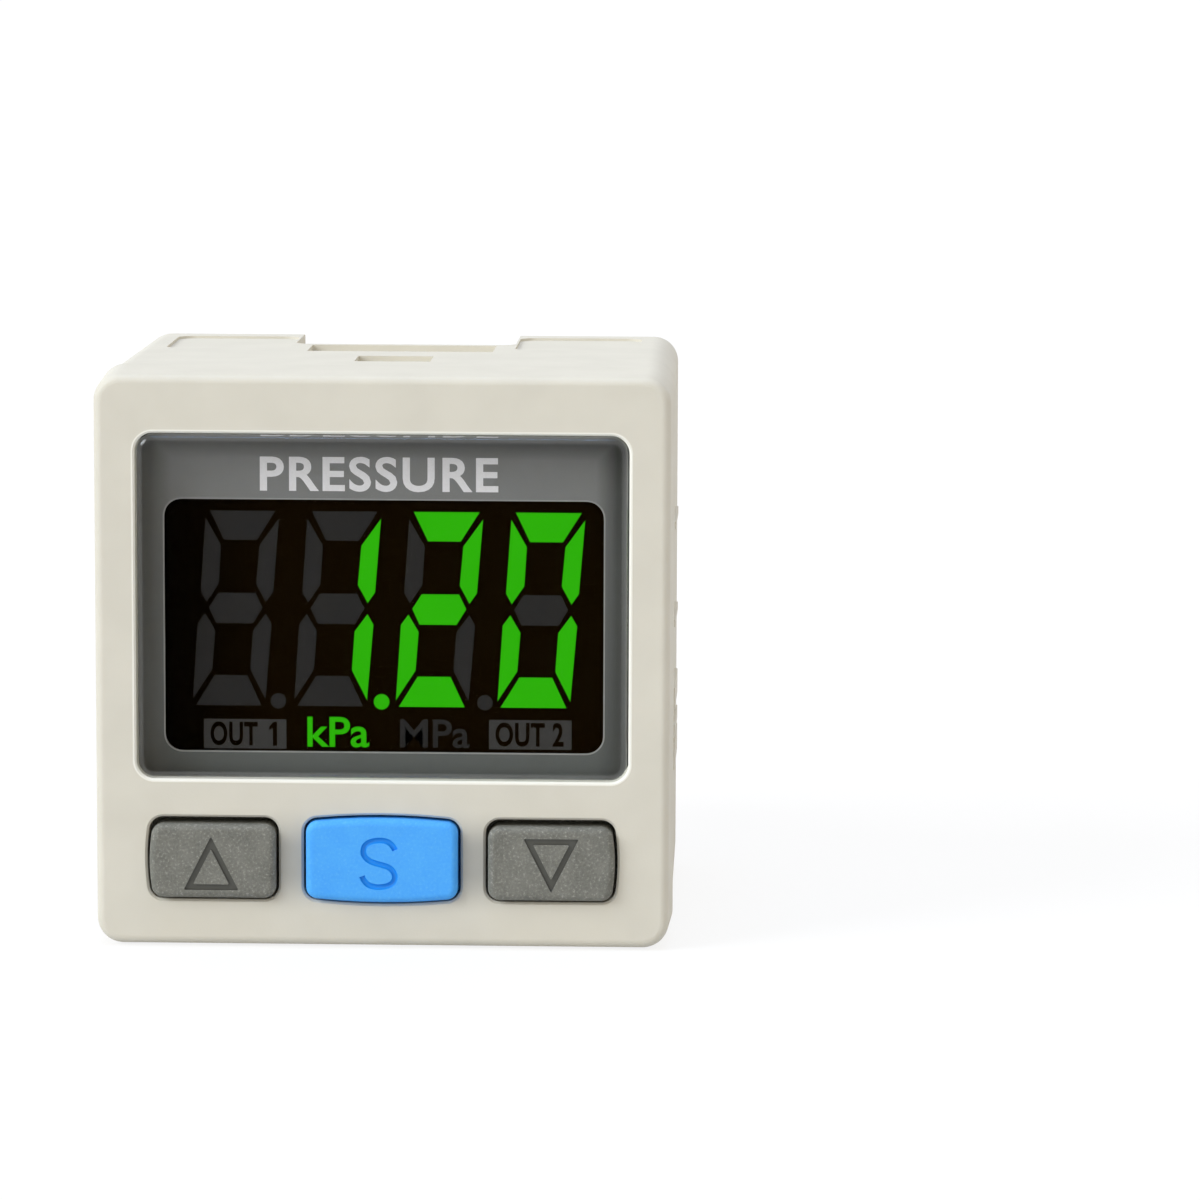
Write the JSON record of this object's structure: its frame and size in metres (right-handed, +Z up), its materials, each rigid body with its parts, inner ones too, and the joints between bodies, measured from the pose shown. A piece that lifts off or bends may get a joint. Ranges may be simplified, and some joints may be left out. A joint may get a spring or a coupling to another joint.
{
  "type": "digital pressure switch",
  "caption": "Small square digital pressure switch with a display window, three push buttons, a threaded port and a socket for its lead in the rear.",
  "frame": {"origin": "centre of the underside of the whole part's bounding box", "axes": "+Z up, the display faces -Y, +X to the right as seen from the front"},
  "size_m": [0.03, 0.0376, 0.03],
  "materials": {
    "housing": "fine moulded texture",
    "lens": "clear polished plastic",
    "mask": "printed film",
    "display": "dark display glass",
    "frame": "moulded",
    "contact_rubber": "matt",
    "light_guide": "clear moulded",
    "led": "moulded",
    "board": "green solder mask",
    "chip": "black moulding",
    "pins": "gold plated",
    "switch": "moulded",
    "plunger": "moulded",
    "grey_button": "fine moulded texture",
    "blue_button": "fine moulded texture",
    "sensor": "moulded",
    "seal": "matt",
    "nickel": "bright nickel plate",
    "insert": "turned",
    "socket": "natural nylon"
  },
  "bodies": {
    "housing": {"front_bezel": "housing", "rear_case": "housing", "display_lens": "lens", "window_mask": "mask", "lcd_panel": "display", "lcd_frame": "frame", "board_link": "frame", "board_spacer": "frame", "elastomer_upper": "contact_rubber", "elastomer_lower": "contact_rubber", "light_guide": "light_guide", "backlight_led_left": "led", "backlight_led_right": "led", "front_board": "board", "rear_board": "board", "microcontroller": "chip", "voltage_regulator": "chip", "output_transistor_1": "chip", "output_transistor_2": "chip", "board_link_pins": "pins", "connector_pins": "pins", "tact_switch_up": "switch", "tact_switch_set": "switch", "tact_switch_down": "switch", "sensor_module": "sensor", "sensor_o_ring": "seal", "port_gasket": "seal", "port_body": "nickel", "port_nut": "nickel", "mount_insert_left": "insert", "mount_insert_right": "insert", "connector_header": "socket"},
    "button_up": {"button_up": "grey_button", "tact_plunger_up": "plunger"},
    "button_set": {"button_set": "blue_button", "tact_plunger_set": "plunger"},
    "button_down": {"button_down": "grey_button", "tact_plunger_down": "plunger"}
  },
  "joints": [
    {"name": "up_press", "type": "slide", "parent": "housing", "child": "button_up", "axis": [0, 1, 0], "range_m": [0, 0.0003], "stiffness_N_per_m": 2000},
    {"name": "set_press", "type": "slide", "parent": "housing", "child": "button_set", "axis": [0, 1, 0], "range_m": [0, 0.0003], "stiffness_N_per_m": 2000},
    {"name": "down_press", "type": "slide", "parent": "housing", "child": "button_down", "axis": [0, 1, 0], "range_m": [0, 0.0003], "stiffness_N_per_m": 2000}
  ]
}
